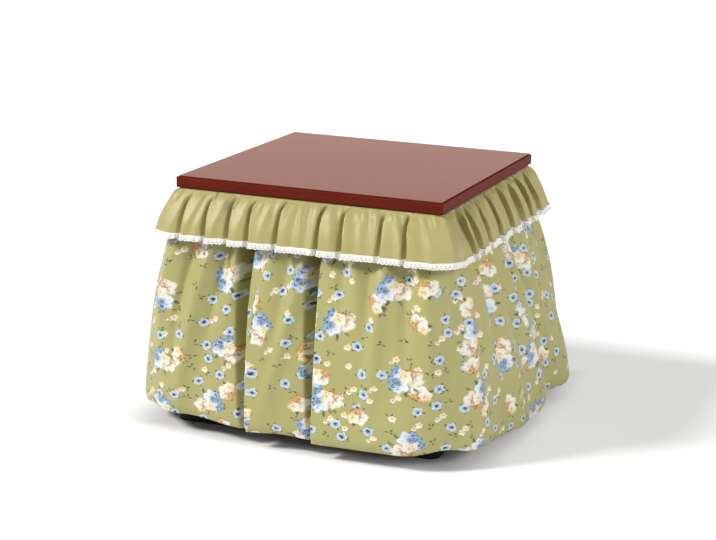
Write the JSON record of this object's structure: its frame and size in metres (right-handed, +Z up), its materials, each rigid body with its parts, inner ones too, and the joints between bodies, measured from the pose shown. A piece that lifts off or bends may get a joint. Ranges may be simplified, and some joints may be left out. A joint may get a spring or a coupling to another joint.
{
  "type": "kotatsu table",
  "caption": "Square heated table with a lacquered top, a floor-length gathered cover over a steel frame, and a quartz heater below the top.",
  "frame": {"origin": "on the floor, under the centre of the table", "axes": "+Z up; -Y is the front side with the controls; +X to the right seen from the front"},
  "size_m": [1.1138, 1.1112, 0.725],
  "materials": {
    "lacquered_wood": "gloss red-brown lacquer over wood veneer",
    "core_wood": "sawn softwood",
    "backing_board": "plain fibreboard",
    "pad_rubber": "matt",
    "green_fabric": "sage green sateen",
    "print_fabric": "sage green cotton with a printed flower pattern",
    "lace_fabric": "white crochet lace",
    "tape_fabric": "woven tape",
    "black_steel": "black powder coat",
    "black_plastic": "moulded, matt",
    "screw_steel": "zinc plated",
    "heater_paint": "light grey stove enamel",
    "reflector_metal": "bright rolled",
    "quartz": "clear quartz",
    "carbon": "carbon strip, matt",
    "cap_ceramic": "unglazed white ceramic",
    "control_plastic": "moulded, matt",
    "knob_plastic": "moulded, satin",
    "rocker_plastic": "moulded, gloss",
    "lamp_plastic": "amber lens",
    "pin_brass": "plain",
    "shaft_steel": "turned"
  },
  "bodies": {
    "frame": {"leg_front_left": "black_steel", "leg_front_right": "black_steel", "leg_back_right": "black_steel", "leg_back_left": "black_steel", "foot_front_left": "black_plastic", "foot_front_right": "black_plastic", "foot_back_right": "black_plastic", "foot_back_left": "black_plastic", "apron_front": "black_steel", "apron_right": "black_steel", "apron_back": "black_steel", "apron_left": "black_steel", "base_rail_front": "black_steel", "base_rail_right": "black_steel", "base_rail_back": "black_steel", "base_rail_left": "black_steel", "top_corner_blocks": "black_plastic", "frame_screws": "screw_steel", "heater_bar_left": "black_steel", "heater_bar_right": "black_steel", "bar_bolts": "screw_steel", "heater_housing": "heater_paint", "reflector": "reflector_metal", "guard_grille": "heater_paint", "heater_screws": "screw_steel", "quartz_tubes": "quartz", "carbon_filaments": "carbon", "tube_end_caps": "cap_ceramic", "thermal_cutout": "screw_steel", "control_box": "control_plastic", "control_box_lid": "control_plastic", "inlet_socket": "control_plastic", "inlet_pins": "pin_brass", "pilot_lamp": "lamp_plastic", "thermostat_body": "screw_steel", "switch_body": "control_plastic", "heater_lead": "black_plastic", "lead_clips": "black_plastic"},
    "cover": {"cover_top_sheet": "green_fabric", "heading_band": "tape_fabric", "skirt_front": "print_fabric", "skirt_right": "print_fabric", "skirt_back": "print_fabric", "skirt_left": "print_fabric", "flounce_front": "green_fabric", "flounce_right": "green_fabric", "flounce_back": "green_fabric", "flounce_left": "green_fabric", "lace_trim": "lace_fabric"},
    "tabletop": {"top_face_panel": "lacquered_wood", "top_core_battens": "core_wood", "top_back_panel": "backing_board", "edge_moulding_front": "lacquered_wood", "edge_moulding_right": "lacquered_wood", "edge_moulding_back": "lacquered_wood", "edge_moulding_left": "lacquered_wood", "anti_slip_pads": "pad_rubber"},
    "thermostat": {"thermostat_knob": "knob_plastic", "thermostat_shaft": "shaft_steel"},
    "rocker": {"power_rocker": "rocker_plastic"}
  },
  "joints": [
    {"name": "cover_lift", "type": "slide", "parent": "frame", "child": "cover", "axis": [0, 0, 1], "range_m": [0, 0.72]},
    {"name": "tabletop_lift", "type": "slide", "parent": "cover", "child": "tabletop", "axis": [0, 0, 1], "range_m": [0, 0.15]},
    {"name": "thermostat_turn", "type": "hinge", "parent": "frame", "child": "thermostat", "pos_m": [0.13, -0.352, 0.6239], "axis": [0, 1, 0], "range_deg": [0, 270]},
    {"name": "power_switch", "type": "hinge", "parent": "frame", "child": "rocker", "pos_m": [0.172, -0.352, 0.6239], "axis": [1, 0, 0], "range_deg": [0, 20]}
  ]
}
